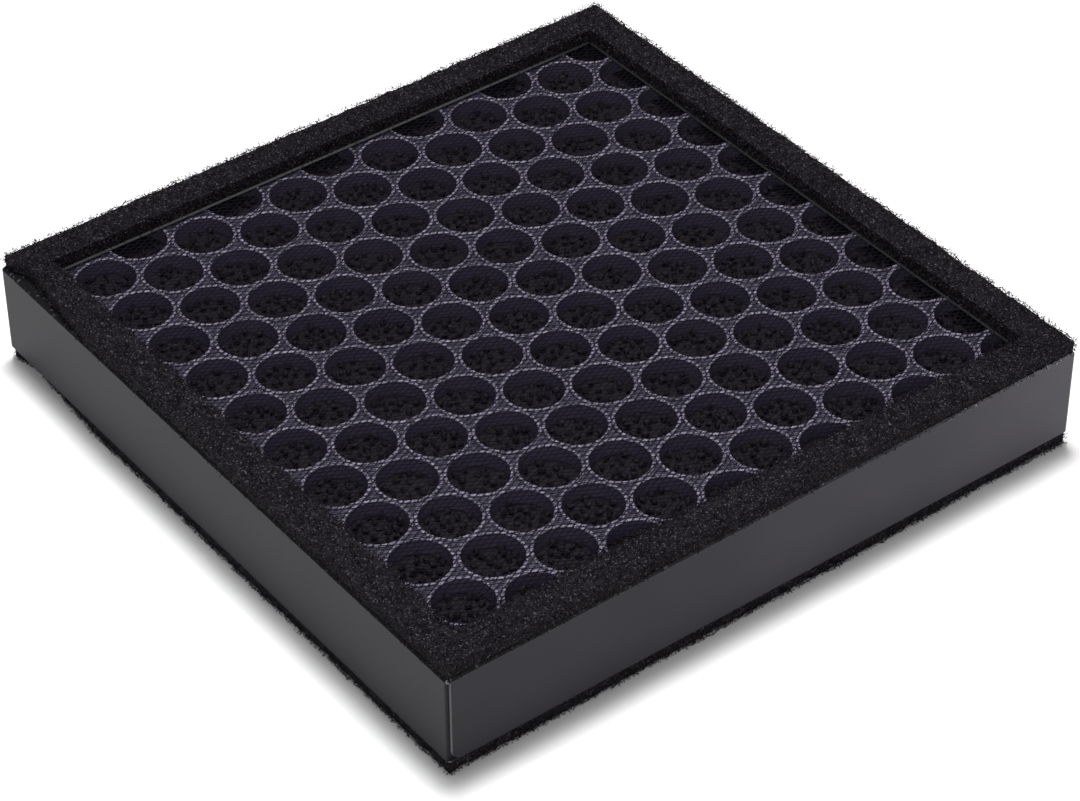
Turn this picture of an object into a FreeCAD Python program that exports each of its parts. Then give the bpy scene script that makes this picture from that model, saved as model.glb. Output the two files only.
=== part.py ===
import FreeCAD, Part

import math
import os

# Carbon filter panel of a bench fume extractor, in millimetres.
# Origin: centre of the face that it lies on. +Z up through the panel, which is
# the way the air goes. The -X and -Y walls meet at the corner with the seam.

# Frame: one strip of black card, folded into a channel and round four sides
SIDE_X = 150.0
SIDE_Y = 150.0
FRAME_HEIGHT = 20.0
CARD = 0.6
LIP_WIDTH = 8.0
CORNER_RADIUS = 0.9
FOLD_BEVEL = 0.4
MITRE_GAP = 0.4
MITRE_STOP = 1.4

# Seam where the strip's two ends meet, over a glued tab
SEAM_WIDTH = 0.9
SEAM_FLARE = 1.4
SEAM_FLARE_HEIGHT = 2.6
TAB_LENGTH = 14.0
TAB_FOLD_RADIUS = 0.45

# Foam gaskets, one die-cut ring on each lip, laid on by hand
GASKET_THICKNESS = 3.0
GASKET_WIDTH = 7.7
GASKET_OUTER_INSET = 0.3
TOP_SETBACK = 2.4
BOTTOM_SETBACK = 1.6
SETBACK_AT_CORNER = 0.4
SETBACK_PEAK = 7.0
SETBACK_RUN = 30.0

# Nets that hold the carbon in, one on each face of the core
NET_THICKNESS = 0.2
NET_EDGE_CLEARANCE = 0.5
NET_GAPS_ACROSS = 8
THREAD_WIDTH = 0.5

# Core: a block of round tubes in a close-packed pattern
CORE_CLEARANCE = 0.2
CELL_PITCH = 13.25
CELL_BORE = 11.7
CELL_SIDES = 14
CELL_EDGE_WALL = 0.8
ROW_SHIFT_X = 3.5
ROW_SHIFT_Y = 0.5

# Carbon granules, one charge in each tube
CARBON_CLEARANCE = 0.1
CARBON_SIDES = 8
CARBON_TOP_GAP = 2.5
CARBON_BOTTOM_GAP = 0.05

# Levels from the ground up
FRAME_BOTTOM = GASKET_THICKNESS
FRAME_TOP = FRAME_BOTTOM + FRAME_HEIGHT
CHANNEL_BOTTOM = FRAME_BOTTOM + CARD
CHANNEL_TOP = FRAME_TOP - CARD
CORE_BOTTOM = CHANNEL_BOTTOM + NET_THICKNESS
CORE_TOP = CHANNEL_TOP - NET_THICKNESS

# Half sizes about the centre
HALF_X = SIDE_X / 2
HALF_Y = SIDE_Y / 2
OPENING_HALF_X = HALF_X - LIP_WIDTH
OPENING_HALF_Y = HALF_Y - LIP_WIDTH
CORE_HALF_X = HALF_X - 2 * CARD - CORE_CLEARANCE
CORE_HALF_Y = HALF_Y - 2 * CARD - CORE_CLEARANCE

# How far a cutting solid runs past the face that it cuts
OVERCUT = 1.0

Vector = FreeCAD.Vector


def block(half_x, half_y, bottom, top):
    corner = Vector(-half_x, -half_y, bottom)
    return Part.makeBox(2 * half_x, 2 * half_y, top - bottom, corner)


def upright_edges(solid):
    return [e for e in solid.Edges if abs(e.tangentAt(e.FirstParameter).z) > 0.99]


def rounded_block(half_x, half_y, bottom, top, radius):
    solid = block(half_x, half_y, bottom, top)
    return solid.makeFillet(radius, upright_edges(solid))


def outline_edges_at(solid, level):
    """Edges of the outline that lie flat at one level."""
    return [e for e in solid.Edges
            if abs(e.BoundBox.ZMin - level) < 1e-6 and abs(e.BoundBox.ZMax - level) < 1e-6]


def polygon_wire(centre_x, centre_y, radius, sides, level):
    points = []
    for k in range(sides):
        angle = 2 * math.pi * (k + 0.5) / sides
        points.append(Vector(centre_x + radius * math.cos(angle),
                             centre_y + radius * math.sin(angle), level))
    return Part.makePolygon(points + points[:1])


def folded_channel():
    """The strip as folded: walls with a lip turned in at the top and bottom."""
    outer = rounded_block(HALF_X, HALF_Y, FRAME_BOTTOM, FRAME_TOP, CORNER_RADIUS)
    folds = outline_edges_at(outer, FRAME_BOTTOM) + outline_edges_at(outer, FRAME_TOP)
    outer = outer.makeChamfer(FOLD_BEVEL, folds)
    inside = rounded_block(HALF_X - CARD, HALF_Y - CARD, CHANNEL_BOTTOM, CHANNEL_TOP,
                           CORNER_RADIUS - CARD)
    opening = block(OPENING_HALF_X, OPENING_HALF_Y,
                    FRAME_BOTTOM - OVERCUT, FRAME_TOP + OVERCUT)
    return outer.cut(inside).cut(opening)


def mitre_slit(sign_x, sign_y, bottom):
    """Gap between two lips, from the opening's corner out towards the fold."""
    start = Vector(sign_x * (OPENING_HALF_X - OVERCUT), sign_y * (OPENING_HALF_Y - OVERCUT), bottom)
    run = LIP_WIDTH - MITRE_STOP + OVERCUT
    along = Vector(sign_x, sign_y, 0)
    across = Vector(-sign_y, sign_x, 0).normalize() * (MITRE_GAP / 2)
    end = start + along * run
    corners = [start - across, end - across, end + across, start + across]
    face = Part.Face(Part.makePolygon(corners + corners[:1]))
    return face.extrude(Vector(0, 0, CARD))


def seam_recess():
    """What the -Y wall's cut end leaves bare beside the -X wall's fold.

    The end stops short of the corner, and curves away from it near the bottom.
    """
    left = -HALF_X - OVERCUT
    edge = -HALF_X + SEAM_WIDTH
    flare_edge = edge + SEAM_FLARE
    low = CHANNEL_BOTTOM
    curve_top = low + SEAM_FLARE_HEIGHT
    face_y = -HALF_Y - OVERCUT
    # The flare is an arc through the middle of a quarter of an ellipse
    curve_mid = Vector(edge + SEAM_FLARE * (1 - math.cos(math.pi / 4)), face_y,
                       curve_top - SEAM_FLARE_HEIGHT * math.sin(math.pi / 4))
    outline = [
        Part.makeLine(Vector(left, face_y, low), Vector(left, face_y, CHANNEL_TOP)),
        Part.makeLine(Vector(left, face_y, CHANNEL_TOP), Vector(edge, face_y, CHANNEL_TOP)),
        Part.makeLine(Vector(edge, face_y, CHANNEL_TOP), Vector(edge, face_y, curve_top)),
        Part.Arc(Vector(edge, face_y, curve_top), curve_mid,
                 Vector(flare_edge, face_y, low)).toShape(),
        Part.makeLine(Vector(flare_edge, face_y, low), Vector(left, face_y, low)),
    ]
    face = Part.Face(Part.Wire(outline))
    return face.extrude(Vector(0, OVERCUT + CARD, 0))


def seam_tab():
    """Glued tab: the strip's other end, turned in behind the -Y wall."""
    corner = Vector(-HALF_X + CARD, -HALF_Y + CARD, CHANNEL_BOTTOM)
    return Part.makeBox(TAB_LENGTH, CARD, CHANNEL_TOP - CHANNEL_BOTTOM, corner)


def build_frame():
    """One folded strip, with three folded corners and a seam at the fourth."""
    frame = folded_channel()
    slits = []
    for sign_x in (-1, 1):
        for sign_y in (-1, 1):
            slits.append(mitre_slit(sign_x, sign_y, FRAME_BOTTOM))
            slits.append(mitre_slit(sign_x, sign_y, CHANNEL_TOP))
    frame = frame.cut(slits)
    backing = Part.makeBox(CARD + SEAM_WIDTH + SEAM_FLARE, CARD, CHANNEL_TOP - CHANNEL_BOTTOM,
                           Vector(-HALF_X, -HALF_Y + CARD, CHANNEL_BOTTOM))
    fold = min(upright_edges(backing), key=lambda e: e.CenterOfMass.x + e.CenterOfMass.y)
    backing = backing.makeFillet(TAB_FOLD_RADIUS, [fold])
    frame = frame.cut(seam_recess()).fuse([backing, seam_tab()])
    return frame.removeSplitter()


def gasket_outline(level, setback):
    """Outer edge of a ring, drawn in near the (-X, +Y) corner by the setback."""
    x = HALF_X - GASKET_OUTER_INSET
    y = HALF_Y - GASKET_OUTER_INSET
    corners = [Vector(-x, -y, level), Vector(x, -y, level), Vector(x, y, level),
               Vector(-x + setback * SETBACK_AT_CORNER, y, level),
               Vector(-x + setback, y - SETBACK_PEAK, level),
               Vector(-x, y - SETBACK_RUN, level)]
    return Part.makePolygon(corners + corners[:1])


def build_gasket(bottom, setback):
    """A ring die-cut from foam sheet, with square corners."""
    ring = Part.Face(gasket_outline(bottom, setback)).extrude(Vector(0, 0, GASKET_THICKNESS))
    hole_x = HALF_X - GASKET_OUTER_INSET - GASKET_WIDTH
    hole_y = HALF_Y - GASKET_OUTER_INSET - GASKET_WIDTH
    return ring.cut(block(hole_x, hole_y, bottom - OVERCUT, bottom + GASKET_THICKNESS + OVERCUT))


def build_net(bottom):
    """A wall of crossed threads, welded where they cross."""
    half_x = CORE_HALF_X - NET_EDGE_CLEARANCE
    half_y = CORE_HALF_Y - NET_EDGE_CLEARANCE
    outline = [Vector(-half_x, -half_y, bottom), Vector(half_x, -half_y, bottom),
               Vector(half_x, half_y, bottom), Vector(-half_x, half_y, bottom)]
    wires = [Part.makePolygon(outline + outline[:1])]
    pitch_x = 2 * OPENING_HALF_X / NET_GAPS_ACROSS
    pitch_y = 2 * OPENING_HALF_Y / NET_GAPS_ACROSS
    gap_x = pitch_x - THREAD_WIDTH
    gap_y = pitch_y - THREAD_WIDTH
    for i in range(NET_GAPS_ACROSS):
        for j in range(NET_GAPS_ACROSS):
            x = -OPENING_HALF_X + i * pitch_x + THREAD_WIDTH / 2
            y = -OPENING_HALF_Y + j * pitch_y + THREAD_WIDTH / 2
            gap = [Vector(x, y, bottom), Vector(x + gap_x, y, bottom),
                   Vector(x + gap_x, y + gap_y, bottom), Vector(x, y + gap_y, bottom)]
            wires.append(Part.makePolygon(gap + gap[:1]))
    return Part.Face(wires, "Part::FaceMakerBullseye").extrude(Vector(0, 0, NET_THICKNESS))


def cell_centres():
    """Close-packed rows along Y; every other row is shifted by half a pitch."""
    row_pitch = CELL_PITCH * math.sqrt(3) / 2
    reach_x = CORE_HALF_X - CELL_BORE / 2 - CELL_EDGE_WALL
    reach_y = CORE_HALF_Y - CELL_BORE / 2 - CELL_EDGE_WALL
    most_rows = int(SIDE_X / row_pitch) + 2
    most_cells = int(SIDE_Y / CELL_PITCH) + 2
    centres = []
    for row in range(-most_rows, most_rows):
        x = ROW_SHIFT_X + (row + 0.5) * row_pitch
        shift = 0.5 if row % 2 == 0 else 0.0
        for cell in range(-most_cells, most_cells):
            y = ROW_SHIFT_Y + (cell + shift) * CELL_PITCH
            if abs(x) <= reach_x and abs(y) <= reach_y:
                centres.append((x, y))
    return centres


def build_core():
    """The welded tube block: one solid with a bore for each tube."""
    outline = [Vector(-CORE_HALF_X, -CORE_HALF_Y, CORE_BOTTOM),
               Vector(CORE_HALF_X, -CORE_HALF_Y, CORE_BOTTOM),
               Vector(CORE_HALF_X, CORE_HALF_Y, CORE_BOTTOM),
               Vector(-CORE_HALF_X, CORE_HALF_Y, CORE_BOTTOM)]
    wires = [Part.makePolygon(outline + outline[:1])]
    for x, y in cell_centres():
        wires.append(polygon_wire(x, y, CELL_BORE / 2, CELL_SIDES, CORE_BOTTOM))
    return Part.Face(wires, "Part::FaceMakerBullseye").extrude(Vector(0, 0, CORE_TOP - CORE_BOTTOM))


def build_carbon():
    """One charge of granules in each bore, filled to below the rim."""
    inner_reach = CELL_BORE / 2 * math.cos(math.pi / CELL_SIDES) - CARBON_CLEARANCE
    bottom = CORE_BOTTOM + CARBON_BOTTOM_GAP
    height = CORE_TOP - CARBON_TOP_GAP - bottom
    charges = []
    for x, y in cell_centres():
        face = Part.Face(polygon_wire(x, y, inner_reach, CARBON_SIDES, bottom))
        charges.append(face.extrude(Vector(0, 0, height)))
    return Part.makeCompound(charges)


def main():
    nodes = {
        "frame": build_frame(),
        "gasket_top": build_gasket(FRAME_TOP, TOP_SETBACK),
        "gasket_bottom": build_gasket(0.0, BOTTOM_SETBACK),
        "honeycomb_core": build_core(),
        "carbon_fill": build_carbon(),
        "net_top": build_net(CORE_TOP),
        "net_bottom": build_net(CHANNEL_BOTTOM),
    }
    os.makedirs("parts", exist_ok=True)
    for name, shape in nodes.items():
        shape.exportStep("parts/" + name + ".step")
        print(name, "solids", len(shape.Solids), "valid", shape.isValid(),
              "volume", round(shape.Volume, 1))


main()
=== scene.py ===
import math

import bmesh
import bpy
from mathutils import Matrix, Vector, noise


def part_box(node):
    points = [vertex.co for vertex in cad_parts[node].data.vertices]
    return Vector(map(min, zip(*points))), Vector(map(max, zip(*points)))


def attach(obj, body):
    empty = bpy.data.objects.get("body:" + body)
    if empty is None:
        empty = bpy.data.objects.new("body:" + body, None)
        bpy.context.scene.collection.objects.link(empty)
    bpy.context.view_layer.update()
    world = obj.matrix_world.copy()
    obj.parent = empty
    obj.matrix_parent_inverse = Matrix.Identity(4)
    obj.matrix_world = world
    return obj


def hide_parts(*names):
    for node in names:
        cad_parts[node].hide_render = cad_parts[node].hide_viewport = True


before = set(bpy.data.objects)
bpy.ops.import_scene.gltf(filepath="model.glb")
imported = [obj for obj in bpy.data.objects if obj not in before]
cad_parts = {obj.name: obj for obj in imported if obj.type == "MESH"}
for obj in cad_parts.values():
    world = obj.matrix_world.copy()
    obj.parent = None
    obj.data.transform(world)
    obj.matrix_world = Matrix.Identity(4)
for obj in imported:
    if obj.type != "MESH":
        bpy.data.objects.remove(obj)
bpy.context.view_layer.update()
MM = 0.001


# The tube block. A few score of plastic tubes, welded side by side in close-packed
# rows, and sawn to length. The sawn rims stand a little proud of the glue that
# fills the corners between the tubes. It is pressed into the folded frame.
CELL_PITCH = 13.25 * MM
CELL_BORE = 11.7 * MM
ROW_SHIFT_X = 3.5 * MM
ROW_SHIFT_Y = 0.5 * MM
EDGE_WALL = 0.8 * MM
GLUE_DEPTH = 0.35 * MM
RIM_WIDTH = 0.86 * MM
BORE_STEPS = 40
RIM_STEPS = 32
RIM_SECTION_STEPS = 6
WELD_DISTANCE = 0.001 * MM
# The bore walls are painted lighter than their plastic is, as painted light in the shaded bores
BORE_WALL_PAINTED_LIGHT_COLOURS = ((0.052, 0.045, 0.078), (0.072, 0.062, 0.106))
GLUE_COLOURS = ((0.016, 0.014, 0.027), (0.062, 0.056, 0.086))
RIM_COLOURS = ((0.024, 0.021, 0.037), (0.200, 0.183, 0.248))

core_low, core_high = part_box("honeycomb_core")


def add(tree, kind, sockets=None, **settings):
    """Puts one node in a tree. A socket's value is a number or another node's output."""
    node = tree.nodes.new(kind)
    for name, value in settings.items():
        setattr(node, name, value)
    for name, value in (sockets or {}).items():
        if isinstance(value, bpy.types.NodeSocket):
            tree.links.new(value, node.inputs[name])
        else:
            node.inputs[name].default_value = value
    return node


def joined(tree, *parts):
    node = tree.nodes.new("GeometryNodeJoinGeometry")
    for part in parts:
        tree.links.new(part, node.inputs["Geometry"])
    return node.outputs["Geometry"]


def new_tree(name, sizes):
    """A Geometry Nodes tree with one named input for each size."""
    tree = bpy.data.node_groups.new(name, "GeometryNodeTree")
    tree.interface.new_socket("Geometry", in_out="INPUT", socket_type="NodeSocketGeometry")
    for label, value in sizes.items():
        kind = "NodeSocketInt" if isinstance(value, int) else "NodeSocketFloat"
        tree.interface.new_socket(label, in_out="INPUT", socket_type=kind).default_value = value
    tree.interface.new_socket("Geometry", in_out="OUTPUT", socket_type="NodeSocketGeometry")
    return tree, tree.nodes.new("NodeGroupInput").outputs


def finish_tree(tree, geometry, material):
    """Every tree ends in real geometry with its material set."""
    real = add(tree, "GeometryNodeRealizeInstances", {"Geometry": geometry})
    dressed = add(tree, "GeometryNodeSetMaterial",
                  {"Geometry": real.outputs["Geometry"], "Material": material})
    output = tree.nodes.new("NodeGroupOutput")
    tree.links.new(dressed.outputs["Geometry"], output.inputs["Geometry"])


def link(mesh, name):
    piece = bpy.data.objects.new(name, mesh)
    bpy.context.scene.collection.objects.link(piece)
    return piece


def grown(name, start, tree, sizes):
    """Runs a tree on a starting mesh, and keeps the result as a plain mesh."""
    holder = link(start, name + "_start")
    modifier = holder.modifiers.new("grow", "NODES")
    modifier.node_group = tree
    for item in tree.interface.items_tree:
        if item.in_out == "INPUT" and item.name in sizes:
            modifier[item.identifier] = sizes[item.name]
    bpy.context.view_layer.update()
    evaluated = holder.evaluated_get(bpy.context.evaluated_depsgraph_get())
    made = bpy.data.meshes.new_from_object(evaluated)
    bpy.data.objects.remove(holder)
    made.name = name
    return link(made, name)


def mesh_of(name, vertices, faces=()):
    mesh = bpy.data.meshes.new(name)
    mesh.from_pydata(vertices, [], faces)
    return mesh


def vector_of(tree, x=0.0, y=0.0, z=0.0):
    return add(tree, "ShaderNodeCombineXYZ", {"X": x, "Y": y, "Z": z}).outputs["Vector"]


def calc(tree, operation, a, b=0.0):
    return add(tree, "ShaderNodeMath", {0: a, 1: b}, operation=operation).outputs["Value"]


def cell_centres(level):
    """Rows along Y, every other one shifted by half a pitch."""
    row_pitch = CELL_PITCH * math.sqrt(3) / 2
    reach_x = core_high.x - CELL_BORE / 2 - EDGE_WALL
    reach_y = core_high.y - CELL_BORE / 2 - EDGE_WALL
    most = int(core_high.x / CELL_PITCH) + 3
    centres = []
    for row in range(-most, most):
        shift = 0.5 if row % 2 == 0 else 0.0
        for cell in range(-most, most):
            x = ROW_SHIFT_X + (row + 0.5) * row_pitch
            y = ROW_SHIFT_Y + (cell + shift) * CELL_PITCH
            if abs(x) <= reach_x and abs(y) <= reach_y:
                centres.append(Vector((x, y, level)))
    return centres


def new_material(name):
    material = bpy.data.materials.new(name)
    material.use_nodes = True
    return material, material.node_tree, material.node_tree.nodes["Principled BSDF"]


# Fine unevenness, which every finish here has: slow patches and a fine grain
mottle = bpy.data.node_groups.new("mottle", "ShaderNodeTree")
for label in ("Patch Scale", "Grain Scale", "Grain Share"):
    mottle.interface.new_socket(label, in_out="INPUT", socket_type="NodeSocketFloat")
mottle.interface.new_socket("Value", in_out="OUTPUT", socket_type="NodeSocketFloat")
mottle_in = mottle.nodes.new("NodeGroupInput").outputs
mottle_at = add(mottle, "ShaderNodeTexCoord").outputs["Object"]
patches = add(mottle, "ShaderNodeTexNoise",
              {"Vector": mottle_at, "Scale": mottle_in["Patch Scale"], "Detail": 4.0})
grains = add(mottle, "ShaderNodeTexNoise",
             {"Vector": mottle_at, "Scale": mottle_in["Grain Scale"], "Detail": 2.0})
blend = add(mottle, "ShaderNodeMix", {0: mottle_in["Grain Share"],
                                      2: patches.outputs["Fac"], 3: grains.outputs["Fac"]})
mottle_out = mottle.nodes.new("NodeGroupOutput")
mottle.links.new(blend.outputs[0], mottle_out.inputs["Value"])


def mottled(tree, patch, grain, share):
    group = tree.nodes.new("ShaderNodeGroup")
    group.node_tree = mottle
    group.inputs["Patch Scale"].default_value = patch
    group.inputs["Grain Scale"].default_value = grain
    group.inputs["Grain Share"].default_value = share
    return group.outputs["Value"]


def ramp(tree, value, low, high, dark, light):
    """Colours from dark to light as a value goes from low to high."""
    node = add(tree, "ShaderNodeValToRGB", {"Fac": value})
    first, last = node.color_ramp.elements
    first.position, last.position = low, high
    first.color, last.color = (*dark, 1.0), (*light, 1.0)
    return node.outputs["Color"]


def mix_colours(tree, factor, a, b):
    node = tree.nodes.new("ShaderNodeMix")
    node.data_type = "RGBA"
    tree.links.new(factor, node.inputs[0])
    for socket, value in ((node.inputs[6], a), (node.inputs[7], b)):
        if isinstance(value, bpy.types.NodeSocket):
            tree.links.new(value, socket)
        else:
            socket.default_value = (*value, 1.0)
    return node.outputs[2]


def object_axis(tree, axis):
    at = add(tree, "ShaderNodeTexCoord").outputs["Object"]
    return add(tree, "ShaderNodeSeparateXYZ", {"Vector": at}).outputs[axis]


def rising(tree, value, low, high):
    """0 where a value is under low, 1 over high, and a slope between."""
    return add(tree, "ShaderNodeMapRange",
               {"Value": value, "From Min": low, "From Max": high}).outputs["Result"]


def bumped(tree, shader, height, strength, distance):
    bump = add(tree, "ShaderNodeBump", {"Height": height, "Strength": strength, "Distance": distance})
    tree.links.new(bump.outputs["Normal"], shader.inputs["Normal"])


tube_plastic, tree, shader = new_material("tube_plastic")
# Bore walls: painted light, lighter than the plastic of the glue and rims
wall_tone_with_painted_light = ramp(tree, mottled(tree, 300.0, 3000.0, 0.5), 0.3, 0.7, *BORE_WALL_PAINTED_LIGHT_COLOURS)
glue_tone = ramp(tree, mottled(tree, 900.0, 1800.0, 0.6), 0.42, 0.62, *GLUE_COLOURS)
rim_tone = ramp(tree, mottled(tree, 900.0, 2300.0, 0.8), 0.42, 0.58, *RIM_COLOURS)
up = object_axis(tree, "Z")
top_rim = rising(tree, up, core_high.z - GLUE_DEPTH * 0.8, core_high.z - GLUE_DEPTH * 0.4)
low_rim = rising(tree, up, core_low.z + GLUE_DEPTH * 0.8, core_low.z + GLUE_DEPTH * 0.4)
on_rim = calc(tree, "MAXIMUM", top_rim, low_rim)
from_middle = calc(tree, "ABSOLUTE", calc(tree, "SUBTRACT", up, (core_low.z + core_high.z) / 2))
glue_level = (core_high.z - core_low.z) / 2 - GLUE_DEPTH
on_glue = rising(tree, from_middle, glue_level - 0.10 * MM, glue_level - 0.05 * MM)
ends_tone = mix_colours(tree, on_rim, glue_tone, rim_tone)
tree.links.new(mix_colours(tree, on_glue, wall_tone_with_painted_light, ends_tone), shader.inputs["Base Color"])
shader.inputs["Roughness"].default_value = 0.5
shader.inputs["Specular IOR Level"].default_value = 0.2
bumped(tree, shader, mottled(tree, 1500.0, 6000.0, 0.5), 0.4, 0.1 * MM)

tree, size = new_tree("tube_block", {
    "Bore": CELL_BORE, "Pitch": CELL_PITCH, "Block X": 2 * core_high.x, "Block Y": 2 * core_high.y,
    "Height": core_high.z - core_low.z, "Glue Depth": GLUE_DEPTH, "Rim Width": RIM_WIDTH,
    "Bore Steps": BORE_STEPS, "Rim Steps": RIM_STEPS, "Rim Section Steps": RIM_SECTION_STEPS})
half_bore = calc(tree, "MULTIPLY", size["Bore"], 0.5)
bore_circle = add(tree, "GeometryNodeCurvePrimitiveCircle",
                  {"Radius": half_bore, "Resolution": size["Bore Steps"]})
bores = add(tree, "GeometryNodeInstanceOnPoints",
            {"Points": size["Geometry"], "Instance": bore_circle.outputs["Curve"]})
# The plate is cut at the level of the bores' points, which is the glue's top
bores_here = add(tree, "GeometryNodeRealizeInstances", {"Geometry": bores.outputs["Instances"]})
outline = add(tree, "GeometryNodeCurvePrimitiveQuadrilateral",
              {"Width": size["Block X"], "Height": size["Block Y"]})
filled = add(tree, "GeometryNodeFillCurve",
             {"Curve": joined(tree, bores_here.outputs["Geometry"], outline.outputs["Curve"])})
depth = calc(tree, "SUBTRACT", size["Height"], calc(tree, "MULTIPLY", size["Glue Depth"], 2.0))
walls = add(tree, "GeometryNodeExtrudeMesh",
            {"Mesh": filled.outputs["Mesh"], "Offset": vector_of(tree, z=-1.0),
             "Offset Scale": depth, "Individual": False})
underside = add(tree, "GeometryNodeFlipFaces", {"Mesh": walls.outputs["Mesh"]})
block = add(tree, "GeometryNodeMergeByDistance",
            {"Geometry": joined(tree, underside.outputs["Mesh"], filled.outputs["Mesh"]),
             "Distance": WELD_DISTANCE})
half_rim = calc(tree, "MULTIPLY", size["Rim Width"], 0.5)
rim_radius = calc(tree, "ADD", half_bore, half_rim)
rim_path = add(tree, "GeometryNodeCurvePrimitiveCircle",
               {"Radius": rim_radius, "Resolution": size["Rim Steps"]})
rim_section = add(tree, "GeometryNodeCurvePrimitiveCircle",
                  {"Radius": 1.0, "Resolution": size["Rim Section Steps"]})
section_size = vector_of(tree, half_rim, size["Glue Depth"], 1.0)
rim_profile = add(tree, "GeometryNodeTransform",
                  {"Geometry": rim_section.outputs["Curve"], "Scale": section_size})
rim = add(tree, "GeometryNodeCurveToMesh",
          {"Curve": rim_path.outputs["Curve"], "Profile Curve": rim_profile.outputs["Geometry"]})
top_rims = add(tree, "GeometryNodeInstanceOnPoints",
               {"Points": size["Geometry"], "Instance": rim.outputs["Mesh"]})
drop = calc(tree, "MULTIPLY", depth, -1.0)
low_rims = add(tree, "GeometryNodeTransform",
               {"Geometry": top_rims.outputs["Instances"], "Translation": vector_of(tree, z=drop)})
lift = vector_of(tree, z=core_high.z - GLUE_DEPTH)
block_up = add(tree, "GeometryNodeTransform",
               {"Geometry": block.outputs["Geometry"], "Translation": lift})
rims_up = add(tree, "GeometryNodeTransform",
              {"Geometry": joined(tree, top_rims.outputs["Instances"], low_rims.outputs["Geometry"]),
               "Translation": lift})
finish_tree(tree, joined(tree, block_up.outputs["Geometry"], rims_up.outputs["Geometry"]), tube_plastic)

core = grown("tube_block", mesh_of("tube_points", cell_centres(0.0)), tree, {})
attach(core, "root")
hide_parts("honeycomb_core")


# The carbon. Crushed and sieved granules, poured into every tube to just under its
# rim. The net below keeps them in, and those on top lie loose, a layer of chips.
GRANULE_RADIUS = 0.78 * MM
GRANULE_SPACING = 1.45 * MM
GRANULE_SEED = 7
BED_UNEVENNESS = 0.8 * MM
CHARGE_STEPS = 24
CHIP_STRETCH = 0.34
CHIP_TURN = 3.1
CHIP_CHIPPING = 0.16 * MM
MOST_CHIPS = 1.0e6
PLUG_SHARE = 0.493
CARBON_COLOURS = ((0.0032, 0.0026, 0.0044), (0.0135, 0.0108, 0.0165))

carbon_low, carbon_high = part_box("carbon_fill")


def scaled(tree, vector, factor):
    return add(tree, "ShaderNodeVectorMath", {0: vector, "Scale": factor},
               operation="SCALE").outputs["Vector"]


def random_vector(tree, reach, seed):
    """A different small vector at each point, up to the reach along each axis."""
    node = add(tree, "FunctionNodeRandomValue", {"Seed": seed}, data_type="FLOAT_VECTOR")
    node.inputs[0].default_value = (-1.0, -1.0, -1.0)
    node.inputs[1].default_value = (1.0, 1.0, 1.0)
    return scaled(tree, node.outputs[0], reach)


def random_number(tree, low, high, seed):
    node = add(tree, "FunctionNodeRandomValue", {2: low, 3: high, "Seed": seed}, data_type="FLOAT")
    return node.outputs[1]


carbon, tree, shader = new_material("carbon")
tone = ramp(tree, mottled(tree, 700.0, 5000.0, 0.5), 0.35, 0.68, *CARBON_COLOURS)
tree.links.new(tone, shader.inputs["Base Color"])
shader.inputs["Roughness"].default_value = 0.6
shader.inputs["Specular IOR Level"].default_value = 0.12
bumped(tree, shader, mottled(tree, 2500.0, 9000.0, 0.5), 0.8, 0.15 * MM)

tree, size = new_tree("carbon_charges", {
    "Bore": CELL_BORE, "Steps": CHARGE_STEPS, "Granule Radius": GRANULE_RADIUS,
    "Granule Spacing": GRANULE_SPACING, "Seed": GRANULE_SEED, "Heap": BED_UNEVENNESS,
    "Top": carbon_high.z, "Bottom": carbon_low.z})
bed_radius = calc(tree, "SUBTRACT", calc(tree, "MULTIPLY", size["Bore"], 0.5), size["Granule Radius"])
bed = add(tree, "GeometryNodeMeshCircle", {"Vertices": size["Steps"], "Radius": bed_radius},
          fill_type="NGON")
beds = add(tree, "GeometryNodeInstanceOnPoints",
           {"Points": size["Geometry"], "Instance": bed.outputs["Mesh"]})
beds_here = add(tree, "GeometryNodeRealizeInstances", {"Geometry": beds.outputs["Instances"]})
layers = []
for label, inward, heaped in (("Top", -1.0, 1.0), ("Bottom", 1.0, 0.0)):
    inset = calc(tree, "MULTIPLY", size["Granule Radius"], inward)
    level = vector_of(tree, z=calc(tree, "ADD", size[label], inset))
    here = add(tree, "GeometryNodeTransform",
               {"Geometry": beds_here.outputs["Geometry"], "Translation": level})
    spots = add(tree, "GeometryNodeDistributePointsOnFaces",
                {"Mesh": here.outputs["Geometry"], "Distance Min": size["Granule Spacing"],
                 "Density Max": MOST_CHIPS, "Seed": size["Seed"]}, distribute_method="POISSON")
    heap = random_number(tree, 0.0, calc(tree, "MULTIPLY", size["Heap"], heaped), 14)
    heaps = add(tree, "GeometryNodeSetPosition",
                {"Geometry": spots.outputs["Points"], "Offset": vector_of(tree, z=heap)})
    chip = add(tree, "GeometryNodeMeshIcoSphere", {"Radius": size["Granule Radius"], "Subdivisions": 1})
    stretch = add(tree, "ShaderNodeVectorMath",
                  {0: random_vector(tree, CHIP_STRETCH, 11), 1: (1.0, 1.0, 0.9)}, operation="ADD")
    chips = add(tree, "GeometryNodeInstanceOnPoints",
                {"Points": heaps.outputs["Geometry"], "Instance": chip.outputs["Mesh"],
                 "Rotation": random_vector(tree, CHIP_TURN, 12), "Scale": stretch.outputs["Vector"]})
    layers.append(chips.outputs["Instances"])
chips_here = add(tree, "GeometryNodeRealizeInstances", {"Geometry": joined(tree, *layers)})
chipped = add(tree, "GeometryNodeSetPosition",
              {"Geometry": chips_here.outputs["Geometry"],
               "Offset": random_vector(tree, CHIP_CHIPPING, 13)})
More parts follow.
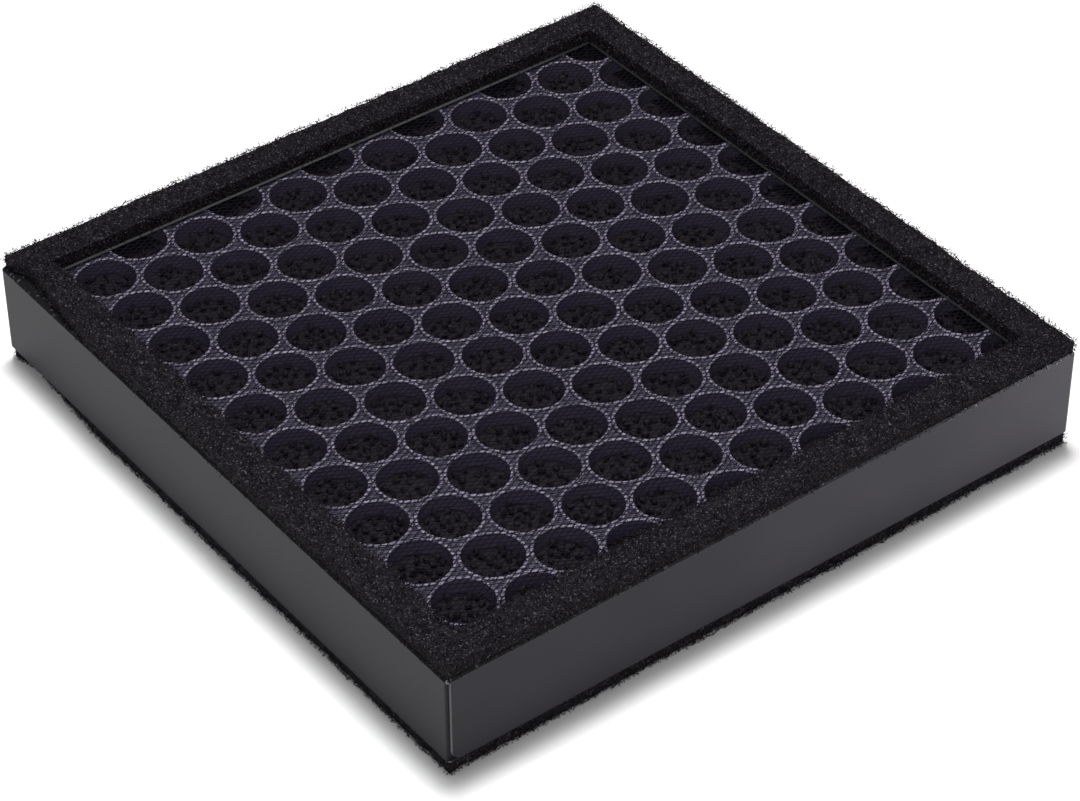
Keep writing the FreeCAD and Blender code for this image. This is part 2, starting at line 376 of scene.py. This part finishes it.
# Under the loose chips each charge is one solid plug
plug_height = calc(tree, "SUBTRACT", calc(tree, "SUBTRACT", size["Top"], size["Bottom"]),
                   calc(tree, "MULTIPLY", size["Granule Radius"], 2.2))
plug = add(tree, "GeometryNodeMeshCylinder",
           {"Vertices": size["Steps"], "Radius": calc(tree, "MULTIPLY", size["Bore"], PLUG_SHARE),
            "Depth": plug_height}, fill_type="NGON")
middle = calc(tree, "MULTIPLY", calc(tree, "ADD", size["Top"], size["Bottom"]), 0.5)
plug_up = add(tree, "GeometryNodeTransform",
              {"Geometry": plug.outputs["Mesh"], "Translation": vector_of(tree, z=middle)})
plugs = add(tree, "GeometryNodeInstanceOnPoints",
            {"Points": size["Geometry"], "Instance": plug_up.outputs["Geometry"]})
finish_tree(tree, joined(tree, chipped.outputs["Geometry"], plugs.outputs["Instances"]), carbon)

charges = grown("carbon_charges", mesh_of("charge_points", cell_centres(0.0)), tree, {})
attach(charges, "root")
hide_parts("carbon_fill")


# The two nets. Black plastic thread in two layers, welded where they cross, so that
# the openings are slim diamonds. Each is cut square and lies between the tube ends
# and the frame's lip.
THREAD_SPACING = 1.095 * MM
THREAD_RADIUS = 0.09 * MM
THREAD_LEANS = (24.6, -29.3)
THREAD_STEP = 1.6 * MM
THREAD_WANDER = 0.36 * MM
WANDER_WAVE = 4.0 * MM
NET_UNDER_LIP = 1.2 * MM
LIP_WIDTH = 8.0 * MM
SECTION_SIDES = 3
THREAD_COLOURS = ((0.004, 0.0035, 0.0055), (0.009, 0.0080, 0.0120))

frame_low, frame_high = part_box("frame")

net_thread, tree, shader = new_material("net_thread")
tone = ramp(tree, mottled(tree, 200.0, 2500.0, 0.5), 0.3, 0.7, *THREAD_COLOURS)
tree.links.new(tone, shader.inputs["Base Color"])
shader.inputs["Roughness"].default_value = 0.8
shader.inputs["Specular IOR Level"].default_value = 0.03

tree, size = new_tree("thread_net", {
    "Spacing": THREAD_SPACING, "Radius": THREAD_RADIUS, "Step": THREAD_STEP,
    "Half X": frame_high.x - LIP_WIDTH + NET_UNDER_LIP,
    "Half Y": frame_high.y - LIP_WIDTH + NET_UNDER_LIP,
    "Wander": THREAD_WANDER, "Low Layer": 0.0, "High Layer": 1.0 * MM,
    "Lean Low": math.radians(THREAD_LEANS[0]), "Lean High": math.radians(THREAD_LEANS[1])})
# The threads are laid over more than the net's diagonal, and trimmed to its edges
reach = calc(tree, "MULTIPLY", size["Half X"], 2.9)
count = calc(tree, "DIVIDE", reach, size["Spacing"])
layers = []
for lean, level in (("Lean Low", "Low Layer"), ("Lean High", "High Layer")):
    first = vector_of(tree, x=calc(tree, "MULTIPLY", reach, -0.5))
    starts = add(tree, "GeometryNodeMeshLine",
                 {"Count": count, "Start Location": first, "Offset": vector_of(tree, x=size["Spacing"])})
    half = calc(tree, "MULTIPLY", reach, 0.5)
    thread = add(tree, "GeometryNodeCurvePrimitiveLine",
                 {"Start": vector_of(tree, y=calc(tree, "MULTIPLY", half, -1.0)),
                  "End": vector_of(tree, y=half)})
    laid = add(tree, "GeometryNodeInstanceOnPoints",
               {"Points": starts.outputs["Mesh"], "Instance": thread.outputs["Curve"]})
    laid_here = add(tree, "GeometryNodeRealizeInstances", {"Geometry": laid.outputs["Instances"]})
    turn = vector_of(tree, z=calc(tree, "SUBTRACT", size[lean], math.pi / 2))
    turned = add(tree, "GeometryNodeTransform",
                 {"Geometry": laid_here.outputs["Geometry"], "Rotation": turn,
                  "Translation": vector_of(tree, z=size[level])})
    layers.append(turned.outputs["Geometry"])
stepped = add(tree, "GeometryNodeResampleCurve",
              {"Curve": joined(tree, *layers), "Length": size["Step"]}, mode="LENGTH")
at = add(tree, "GeometryNodeInputPosition").outputs["Position"]
slow = add(tree, "ShaderNodeTexNoise", {"Vector": at, "Scale": 1.0 / WANDER_WAVE, "Detail": 2.0})
centred = add(tree, "ShaderNodeVectorMath", {0: slow.outputs["Color"], 1: (0.5, 0.5, 0.5)},
              operation="SUBTRACT")
flat = add(tree, "ShaderNodeVectorMath", {0: centred.outputs["Vector"], 1: (2.0, 2.0, 0.0)},
           operation="MULTIPLY")
wandered = add(tree, "GeometryNodeSetPosition",
               {"Geometry": stepped.outputs["Curve"],
                "Offset": scaled(tree, flat.outputs["Vector"], size["Wander"])})
place = add(tree, "ShaderNodeSeparateXYZ", {"Vector": at})
past_x = calc(tree, "GREATER_THAN", calc(tree, "ABSOLUTE", place.outputs["X"]), size["Half X"])
past_y = calc(tree, "GREATER_THAN", calc(tree, "ABSOLUTE", place.outputs["Y"]), size["Half Y"])
past_edge = calc(tree, "MAXIMUM", past_x, past_y)
trimmed = add(tree, "GeometryNodeDeleteGeometry",
              {"Geometry": wandered.outputs["Geometry"], "Selection": past_edge})
section = add(tree, "GeometryNodeCurvePrimitiveCircle",
              {"Radius": size["Radius"], "Resolution": SECTION_SIDES})
threads = add(tree, "GeometryNodeCurveToMesh",
              {"Curve": trimmed.outputs["Geometry"], "Profile Curve": section.outputs["Curve"],
               "Fill Caps": True})
finish_tree(tree, threads.outputs["Mesh"], net_thread)

for node_name in ("net_bottom", "net_top"):
    low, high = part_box(node_name)
    net = grown(node_name + "_threads", mesh_of(node_name + "_start", [Vector()]), tree,
                {"Low Layer": low.z + THREAD_RADIUS, "High Layer": high.z - THREAD_RADIUS})
    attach(net, "root")
    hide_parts(node_name)


# The frame. One strip of smooth black card, folded into a channel and wrapped round
# the block and its nets, with its ends glued over a tab at the near corner. The
# folds are rubbed, and the knife's cuts show the card's greyer inside. The top
# fold's bevel is painted darker, as painted shade.
FOLD_BEVEL = 0.4 * MM
SEAM_REACH = 4.0 * MM
CARD_COLOURS = ((0.0110, 0.0105, 0.0125), (0.0160, 0.0152, 0.0180))
FOLD_SHADE_COLOUR = (0.004, 0.0038, 0.0046)
RUBBED_COLOUR = (0.06, 0.06, 0.063)
LIP_CUT_COLOUR = (0.055, 0.055, 0.056)
SEAM_CUT_COLOUR = (0.14, 0.14, 0.148)


def mask_of(tree, *masks):
    """Where every one of the masks holds."""
    product = masks[0]
    for mask in masks[1:]:
        product = calc(tree, "MULTIPLY", product, mask)
    return product


card, tree, shader = new_material("frame_card")
tone = ramp(tree, mottled(tree, 45.0, 1800.0, 0.35), 0.3, 0.7, *CARD_COLOURS)
across, along, up = (object_axis(tree, axis) for axis in "XYZ")
at = add(tree, "ShaderNodeTexCoord").outputs["Object"]
# The bevel of the top fold is painted near black: painted shade, not the card's colour
on_fold_shade = rising(tree, up, frame_high.z - FOLD_BEVEL, frame_high.z - FOLD_BEVEL * 0.8)
folded = mix_colours(tree, on_fold_shade, tone, FOLD_SHADE_COLOUR)
flecks = add(tree, "ShaderNodeTexNoise", {"Vector": at, "Scale": 1400.0, "Detail": 3.0})
near_fold = rising(tree, up, frame_high.z - FOLD_BEVEL * 2.2, frame_high.z - FOLD_BEVEL * 0.7)
rubbed = mask_of(tree, near_fold, rising(tree, flecks.outputs["Fac"], 0.60, 0.72))
worn = mix_colours(tree, rubbed, folded, RUBBED_COLOUR)
facing = add(tree, "ShaderNodeSeparateXYZ",
             {"Vector": add(tree, "ShaderNodeNewGeometry").outputs["True Normal"]}).outputs
upright = rising(tree, calc(tree, "ABSOLUTE", facing["Z"]), 0.6, 0.4)
reach = calc(tree, "MAXIMUM", calc(tree, "ABSOLUTE", across), calc(tree, "ABSOLUTE", along))
lip_cut = mask_of(tree, upright, rising(tree, reach, frame_high.x - LIP_WIDTH + MM,
                                        frame_high.x - LIP_WIDTH + 0.5 * MM))
by_seam = rising(tree, across, frame_low.x + SEAM_REACH, frame_low.x + SEAM_REACH - MM)
off_wall = rising(tree, across, frame_low.x + 0.1 * MM, frame_low.x + 0.2 * MM)
in_front = rising(tree, along, frame_low.y + 0.7 * MM, frame_low.y + 0.6 * MM)
faces_seam = rising(tree, facing["X"], -0.2, -0.4)
seam_cut = mask_of(tree, by_seam, off_wall, in_front, faces_seam)
lip_cut_tone = mix_colours(tree, lip_cut, worn, LIP_CUT_COLOUR)
all_tone = mix_colours(tree, seam_cut, lip_cut_tone, SEAM_CUT_COLOUR)
tree.links.new(all_tone, shader.inputs["Base Color"])
shader.inputs["Roughness"].default_value = 0.4
shader.inputs["Specular IOR Level"].default_value = 0.10
shader.inputs["Specular Tint"].default_value = (1.0, 0.95, 1.05, 1.0)
bumped(tree, shader, mottled(tree, 500.0, 4000.0, 0.6), 0.12, 0.05 * MM)
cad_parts["frame"].data.materials.clear()
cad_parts["frame"].data.materials.append(card)


# The two foam gaskets. Rings die-cut from black open-cell foam sheet and stuck on the
# lips by hand: a lace of fine struts, some broken by the knife, over a dark inside
# whose pores are painted near black as painted shade.
# The upper one was laid a little askew, so the lip shows near the left corner.
GASKET_WIDTH = 7.7 * MM
TOP_SETBACK = 2.4 * MM
BOTTOM_SETBACK = 1.6 * MM
SETBACK_AT_CORNER = 0.2
SETBACK_PEAK = 7.0 * MM
SETBACK_RUN = 30.0 * MM
EDGE_OVERHANG = 0.25 * MM
EDGE_WANDER = 0.30 * MM
WANDER_LENGTH = 7.0 * MM
EDGE_ROUNDING = 0.3 * MM
PORE = 1.9 * MM
PORE_UNEVENNESS = 0.5 * MM
STRUT_UNEVENNESS = 0.3 * MM
STRUT_DEPTH = 0.35 * MM
STRUT_RADIUS = 0.08 * MM
BROKEN_STRUT_LENGTH = 0.75 * MM
BROKEN_STRUT_RADIUS = 0.09 * MM
BROKEN_STRUT_DENSITY = 3.9e6
BROKEN_STRUT_LEAN = 1.3
LOW_STRUT_SHARE = 0.75
INSIDE_INSET = 0.45 * MM
INSIDE_STEP = 1.3 * MM
INSIDE_ROUGHNESS = 0.2 * MM
INSIDE_GRAIN = 0.9 * MM
# The third colour of each is painted glints on a few struts
STRUT_COLOURS = ((0.0030, 0.0025, 0.0036), (0.0110, 0.0092, 0.0122), (0.065, 0.059, 0.068))
DEEP_STRUT_COLOURS = ((0.0030, 0.0025, 0.0036), (0.0120, 0.0100, 0.0135), (0.045, 0.040, 0.047))
PORE_SHADE_COLOUR = (0.0014, 0.0012, 0.0016)
GLINT_FROM = 0.60
GLINT_SLOPE = 0.07


def foam_colour(tree, dark, light, glint_colour):
    """Brown-black to violet-black in patches, with a few struts painted light as painted glints."""
    at = add(tree, "ShaderNodeTexCoord").outputs["Object"]
    base = ramp(tree, mottled(tree, 500.0, 1500.0, 0.6), 0.4, 0.62, dark, light)
    fine = add(tree, "ShaderNodeTexNoise", {"Vector": at, "Scale": 2600.0, "Detail": 2.0})
    on_painted_glint = rising(tree, fine.outputs["Fac"], GLINT_FROM, GLINT_FROM + GLINT_SLOPE)
    return mix_colours(tree, on_painted_glint, base, glint_colour)


foam_strut, tree, shader = new_material("foam_strut")
tree.links.new(foam_colour(tree, *STRUT_COLOURS), shader.inputs["Base Color"])
shader.inputs["Roughness"].default_value = 0.6
shader.inputs["Specular IOR Level"].default_value = 0.05

foam_depth, tree, shader = new_material("foam_depth")
at = add(tree, "ShaderNodeTexCoord").outputs["Object"]
inner_pores = add(tree, "ShaderNodeTexVoronoi", {"Vector": at, "Scale": 1200.0},
                  feature="DISTANCE_TO_EDGE")
inner_strut = rising(tree, inner_pores.outputs["Distance"], 0.16, 0.05)
seen = mask_of(tree, inner_strut, rising(tree, mottled(tree, 700.0, 2500.0, 0.5), 0.45, 0.6))
struts_below = foam_colour(tree, *DEEP_STRUT_COLOURS)
# Between the struts below, the pores are painted near black: painted shade in the foam's depth
tree.links.new(mix_colours(tree, seen, PORE_SHADE_COLOUR, struts_below), shader.inputs["Base Color"])
shader.inputs["Roughness"].default_value = 0.8
shader.inputs["Specular IOR Level"].default_value = 0.05
bumped(tree, shader, inner_strut, 1.0, 0.4 * MM)

tree, size = new_tree("foam_lace", {
    "Pore Unevenness": PORE_UNEVENNESS, "Strut Unevenness": STRUT_UNEVENNESS,
    "Strut Depth": STRUT_DEPTH, "Strut Radius": STRUT_RADIUS,
    "Broken Length": BROKEN_STRUT_LENGTH, "Broken Radius": BROKEN_STRUT_RADIUS,
    "Broken Density": BROKEN_STRUT_DENSITY, "Seed": 3})
outward = tree.nodes.new("GeometryNodeInputNormal").outputs["Normal"]
sink = calc(tree, "MULTIPLY", size["Strut Depth"], -1.0)
shake = random_vector(tree, size["Pore Unevenness"], size["Seed"])
moved = add(tree, "ShaderNodeVectorMath", {0: scaled(tree, outward, sink), 1: shake}, operation="ADD")
shaken = add(tree, "GeometryNodeSetPosition",
             {"Geometry": size["Geometry"], "Offset": moved.outputs["Vector"]})
triangles = add(tree, "GeometryNodeTriangulate", {"Mesh": shaken.outputs["Geometry"]},
                quad_method="SHORTEST_DIAGONAL")
cells = add(tree, "GeometryNodeDualMesh", {"Mesh": triangles.outputs["Mesh"]})
ruffled = add(tree, "GeometryNodeSetPosition",
              {"Geometry": cells.outputs["Dual Mesh"],
               "Offset": random_vector(tree, size["Strut Unevenness"], size["Seed"])})
lines = add(tree, "GeometryNodeMeshToCurve", {"Mesh": ruffled.outputs["Geometry"]})
strut_section = add(tree, "GeometryNodeCurvePrimitiveCircle",
                    {"Radius": size["Strut Radius"], "Resolution": SECTION_SIDES})
struts = add(tree, "GeometryNodeCurveToMesh",
             {"Curve": lines.outputs["Curve"], "Profile Curve": strut_section.outputs["Curve"],
              "Fill Caps": True})
ends = add(tree, "GeometryNodeDistributePointsOnFaces",
           {"Mesh": size["Geometry"], "Density": size["Broken Density"], "Seed": size["Seed"]},
           distribute_method="RANDOM")
roots = add(tree, "GeometryNodeSetPosition",
            {"Geometry": ends.outputs["Points"], "Offset": scaled(tree, ends.outputs["Normal"], sink)})
lean = add(tree, "ShaderNodeVectorMath",
           {0: ends.outputs["Normal"], 1: random_vector(tree, BROKEN_STRUT_LEAN, 21)}, operation="ADD")
stood = add(tree, "FunctionNodeAlignRotationToVector", {"Vector": lean.outputs["Vector"]}, axis="Z")
spike = add(tree, "GeometryNodeMeshCone",
            {"Vertices": SECTION_SIDES, "Radius Top": size["Broken Radius"], "Radius Bottom": 0.0,
             "Depth": size["Broken Length"]}, fill_type="NGON")
spike_size = vector_of(tree, 1.0, 1.0, random_number(tree, 0.5, 1.5, 22))
broken = add(tree, "GeometryNodeInstanceOnPoints",
             {"Points": roots.outputs["Geometry"], "Instance": spike.outputs["Mesh"],
              "Rotation": stood.outputs["Rotation"], "Scale": spike_size})
finish_tree(tree, joined(tree, struts.outputs["Mesh"], broken.outputs["Instances"]), foam_strut)
lace_tree = tree


def setback_share(from_corner):
    """How much of the full setback the edge has at a distance from the left corner."""
    if from_corner < SETBACK_PEAK:
        return SETBACK_AT_CORNER + (1 - SETBACK_AT_CORNER) * from_corner / SETBACK_PEAK
    return max(0.0, (SETBACK_RUN - from_corner) / (SETBACK_RUN - SETBACK_PEAK))


def ring_mesh(name, high, setback, section, step, closed):
    """Sweeps a section round the ring. Each of its points is a depth from the edge and a level."""
    places = []
    corners = [(-1, -1), (1, -1), (1, 1), (-1, 1)]
    for (ax, ay), (bx, by) in zip(corners, corners[1:] + corners[:1]):
        steps = round(2 * high.x / step)
        for s in range(steps):
            u, v = ax + (bx - ax) * s / steps, ay + (by - ay) * s / steps
            outer = Vector((high.x * u, high.y * v, 0.0))
            inner = Vector(((high.x - GASKET_WIDTH) * u, (high.y - GASKET_WIDTH) * v, 0.0))
            inwards = (inner - outer).normalized()
            outer += inwards * (EDGE_WANDER * noise.noise(outer / WANDER_LENGTH) - EDGE_OVERHANG)
            if u == -1:
                outer.x += setback * setback_share(high.y * (1 - v))
            elif v == 1:
                beyond = max(0.0, 1 - high.x * (1 + u) / GASKET_WIDTH)
                outer.x += setback * SETBACK_AT_CORNER * beyond
            places.append((outer, inner))
    vertices = []
    for outer, inner in places:
        for depth, level in section:
            vertices.append(outer.lerp(inner, depth / GASKET_WIDTH) + Vector((0.0, 0.0, level)))
    columns = len(section)
    faces = []
    for i in range(len(places)):
        a, b = i * columns, ((i + 1) % len(places)) * columns
        for j in range(columns if closed else columns - 1):
            k = (j + 1) % columns
            faces.append((a + j, b + j, b + k, a + k))
    return mesh_of(name, vertices, faces)


def divided(corners, step):
    """Points along a path, about one step apart, with its corners among them."""
    points = []
    for (d0, z0), (d1, z1) in zip(corners, corners[1:]):
        steps = max(1, round(math.hypot(d1 - d0, z1 - z0) / step))
        points += [(d0 + (d1 - d0) * s / steps, z0 + (z1 - z0) * s / steps) for s in range(steps)]
    return points + [corners[-1]]


def foam_ring(node_name, setback, stuck_level, free_level, broken_length, seed):
    """One gasket: its lace, and its dark inside. Nothing of it goes below the floor."""
    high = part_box(node_name)[1]
    way_in = INSIDE_INSET if free_level < stuck_level else -INSIDE_INSET
    cut = EDGE_ROUNDING if free_level < stuck_level else -EDGE_ROUNDING
    skin = [(0.0, stuck_level), (0.0, free_level + cut), (EDGE_ROUNDING, free_level),
            (GASKET_WIDTH - EDGE_ROUNDING, free_level), (GASKET_WIDTH, free_level + cut),
            (GASKET_WIDTH, stuck_level)]
    skin_mesh = ring_mesh("foam_skin", high, setback, divided(skin, PORE), PORE, closed=False)
    if free_level < stuck_level:
        skin_mesh.flip_normals()
    lace = grown(node_name + "_foam", skin_mesh, lace_tree,
                 {"Seed": seed, "Broken Length": broken_length})
    far_side = GASKET_WIDTH - INSIDE_INSET
    lower, upper = sorted((stuck_level, free_level + way_in))
    body = [(INSIDE_INSET, lower), (INSIDE_INSET, upper), (far_side, upper), (far_side, lower),
            (INSIDE_INSET, lower)]
    section = divided(body, INSIDE_STEP)[:-1]
    inside = ring_mesh("foam_inside", high, setback, section, INSIDE_STEP, closed=True)
    noise.seed_set(seed)
    for vertex in inside.vertices:
        push = noise.noise_vector(vertex.co / INSIDE_GRAIN) * INSIDE_ROUGHNESS
        if abs(vertex.co.z - stuck_level) < 0.1 * MM:
            push.z = 0.0
        vertex.co += push
    ring = bmesh.new()
    ring.from_mesh(lace.data)
    lace_faces = len(ring.faces)
    ring.from_mesh(inside)
    ring.faces.ensure_lookup_table()
    for face in ring.faces[lace_faces:]:
        face.material_index = 1
    ring.to_mesh(lace.data)
    ring.free()
    for vertex in lace.data.vertices:
        vertex.co.z = max(vertex.co.z, 0.0)
    lace.data.materials.append(foam_depth)
    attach(lace, "root")
    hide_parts(node_name)
    return lace


# The lower ring's broken struts are pressed shorter by the panel's weight
gaskets = (foam_ring("gasket_bottom", BOTTOM_SETBACK, frame_low.z, 0.0,
                     BROKEN_STRUT_LENGTH * LOW_STRUT_SHARE, seed=5),
           foam_ring("gasket_top", TOP_SETBACK, frame_high.z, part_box("gasket_top")[1].z,
                     BROKEN_STRUT_LENGTH, seed=3))


# The studio: a white floor under an even sky, one soft light nearly overhead and two
# small lamps for the dark panel alone, with the camera at the photograph's place.
CAMERA_AT = Vector((-330.1, -439.2, 450.1)) * MM
CAMERA_AZIMUTH = math.radians(37.124)
CAMERA_TILT = math.radians(39.336)
CAMERA_ROLL = math.radians(-0.334)
CAMERA_LENS = 118.75
FLOOR_REACH = 3.0

floor_paper, tree, shader = new_material("floor_paper")
shader.inputs["Base Color"].default_value = (0.9, 0.9, 0.9, 1.0)
shader.inputs["Roughness"].default_value = 0.9
floor = link(mesh_of("floor", [(-FLOOR_REACH, -FLOOR_REACH, 0), (FLOOR_REACH, -FLOOR_REACH, 0),
                               (FLOOR_REACH, FLOOR_REACH, 0), (-FLOOR_REACH, FLOOR_REACH, 0)],
                     [(0, 1, 2, 3)]), "floor")
floor.data.materials.append(floor_paper)

world = bpy.data.worlds.new("studio")
world.use_nodes = True
world.node_tree.nodes["Background"].inputs["Color"].default_value = (1.0, 1.0, 1.0, 1.0)
world.node_tree.nodes["Background"].inputs["Strength"].default_value = 0.45
bpy.context.scene.world = world


def soft_light(name, at, size, power):
    light = bpy.data.lights.new(name, "AREA")
    light.shape = "RECTANGLE"
    light.size, light.size_y = size
    light.energy = power
    lamp = bpy.data.objects.new(name, light)
    lamp.location = at
    lamp.rotation_euler = (-Vector(at)).to_track_quat("-Z", "Y").to_euler()
    bpy.context.scene.collection.objects.link(lamp)
    return lamp


soft_light("overhead", (0.065, 0.11, 1.0), (0.26, 0.26), 12.0)

# A small lamp by the right-hand corner lights the card alone, and one in front lights
# the panel, but neither the nets nor the floor's shadow
for name, at, size, power, lit in (
        ("card_lamp", (0.17, -0.16, 0.04), 0.06, 0.9, (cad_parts["frame"],)),
        ("front_fill", (-0.50, -0.66, 0.68), 0.5, 5.0,
         (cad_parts["frame"], core, charges, *gaskets))):
    lamp = soft_light(name, at, (size, size), power)
    lamp.light_linking.receiver_collection = bpy.data.collections.new(name + "_lights")
    for piece in lit:
        lamp.light_linking.receiver_collection.objects.link(piece)

ahead = Vector((math.sin(CAMERA_AZIMUTH) * math.cos(CAMERA_TILT),
                math.cos(CAMERA_AZIMUTH) * math.cos(CAMERA_TILT), -math.sin(CAMERA_TILT)))
level_right = Vector((math.cos(CAMERA_AZIMUTH), -math.sin(CAMERA_AZIMUTH), 0.0))
level_up = level_right.cross(ahead)
right = level_right * math.cos(CAMERA_ROLL) + level_up * math.sin(CAMERA_ROLL)
camera_up = right.cross(ahead)
turn = Matrix((right, camera_up, -ahead)).transposed()

camera_data = bpy.data.cameras.new("camera")
camera_data.lens = CAMERA_LENS
camera_data.sensor_width = 36.0
camera_data.clip_start = 0.01
camera = bpy.data.objects.new("camera", camera_data)
camera.matrix_world = Matrix.Translation(CAMERA_AT) @ turn.to_4x4()
bpy.context.scene.collection.objects.link(camera)
bpy.context.scene.camera = camera
bpy.context.scene.view_settings.view_transform = "Standard"
